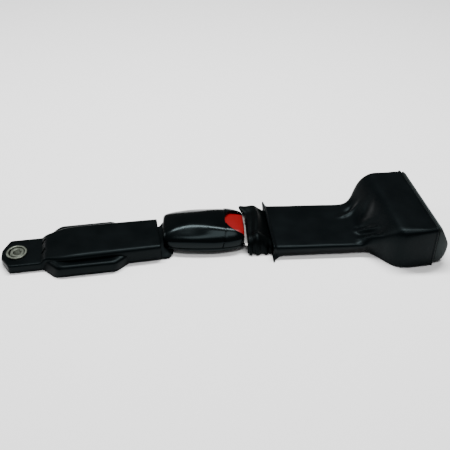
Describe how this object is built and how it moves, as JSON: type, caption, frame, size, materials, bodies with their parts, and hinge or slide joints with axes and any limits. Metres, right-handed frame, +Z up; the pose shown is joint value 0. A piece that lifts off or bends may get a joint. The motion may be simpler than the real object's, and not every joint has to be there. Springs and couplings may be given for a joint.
{
  "type": "seat belt",
  "caption": "Buckled two-point lap belt with a slotted anchor plate in a moulded sleeve, an end-press buckle and tongue, and a locking retractor in a rubber boot.",
  "frame": {"origin": "middle of the belt's outline in plan, on the surface it lies on", "axes": "+X along the belt line from the anchor plate to the retractor, +Y across it, +Z up"},
  "size_m": [0.3906, 0.093, 0.0393],
  "materials": {
    "boot": "soft moulded black with a dull sheen",
    "cap": "matt dark grey moulding",
    "sleeve": "semi-matt black moulding",
    "buckle": "glossy black moulding",
    "button": "satin red moulding",
    "webbing": "woven black polyester webbing",
    "strap": "woven black polyester webbing, sewn double",
    "steel": "bright steel sheet and rod",
    "zinc": "zinc plated, slightly dull",
    "inner_plastic": "plain moulding",
    "spring_steel": "dark spring steel"
  },
  "bodies": {
    "retractor": {"retractor_boot": "boot", "end_cap": "cap", "retractor_frame": "steel", "tie_bar": "steel", "pawl_pin": "steel", "mechanism_cover": "inner_plastic", "sensor_cup": "inner_plastic", "sensor_ball": "steel", "spring_cover": "inner_plastic", "rewind_spring": "spring_steel"},
    "spool": {"spool": "inner_plastic", "spool_axle": "steel", "webbing_roll": "webbing", "ratchet_wheel": "steel", "spring_arbor": "inner_plastic"},
    "lock_pawl": {"lock_pawl": "steel"},
    "sensor_lever": {"sensor_lever": "inner_plastic"},
    "belt": {"webbing": "webbing", "tongue_plate": "steel", "buckle_top_cover": "buckle", "buckle_bottom_cover": "buckle", "buckle_frame": "steel", "strap_pin": "steel", "latch_pin": "steel", "latch_spring": "spring_steel", "ejector": "inner_plastic", "ejector_spring": "spring_steel", "button_spring_near": "spring_steel", "button_spring_far": "spring_steel", "anchor_sleeve": "sleeve", "anchor_plate": "steel", "buckle_strap": "strap"},
    "press_button": {"press_button": "button"},
    "latch": {"latch": "steel"},
    "anchor_bush": {"anchor_bush": "zinc", "anchor_washer": "zinc"}
  },
  "joints": [
    {"name": "belt_pull", "type": "slide", "parent": "retractor", "child": "belt", "axis": [-1, 0, 0], "range_m": [0, 0.0835], "stiffness_N_per_m": 10, "springref_m": -0.5},
    {"name": "spool_turn", "type": "hinge", "parent": "retractor", "child": "spool", "pos_m": [0.16884, 0.00253, 0.01985], "axis": [-0.0772, 0.997, 0], "range_deg": [0, 365]},
    {"name": "pawl_swing", "type": "hinge", "parent": "retractor", "child": "lock_pawl", "pos_m": [0.17916, -0.02706, 0.00725], "axis": [0.0772, -0.997, 0], "range_deg": [0, 10.5], "stiffness_Nm_per_rad": 0.01, "springref_deg": -28.65},
    {"name": "lever_lift", "type": "hinge", "parent": "retractor", "child": "sensor_lever", "pos_m": [0.16567, -0.03419, 0.01344], "axis": [0.0772, -0.997, 0], "range_deg": [0, 8]},
    {"name": "button_press", "type": "slide", "parent": "belt", "child": "press_button", "axis": [-1, 0, 0], "range_m": [0, 0.004], "stiffness_N_per_m": 900, "springref_m": -0.004, "deforming": ["button_spring_near", "button_spring_far"]},
    {"name": "latch_lift", "type": "hinge", "parent": "belt", "child": "latch", "pos_m": [-0.02566, 0.00253, 0.0129], "axis": [0, -1, 0], "range_deg": [0, 9.2], "deforming": ["latch_spring"]},
    {"name": "bush_turn", "type": "hinge", "parent": "belt", "child": "anchor_bush", "pos_m": [-0.18146, -0.01862, 0], "axis": [0, 0, 1], "continuous": true}
  ],
  "couplings": [
    {"joint": "spool_turn", "follows": "belt_pull", "rad_per_m": 75.188},
    {"joint": "latch_lift", "follows": "button_press", "rad_per_m": 40}
  ]
}
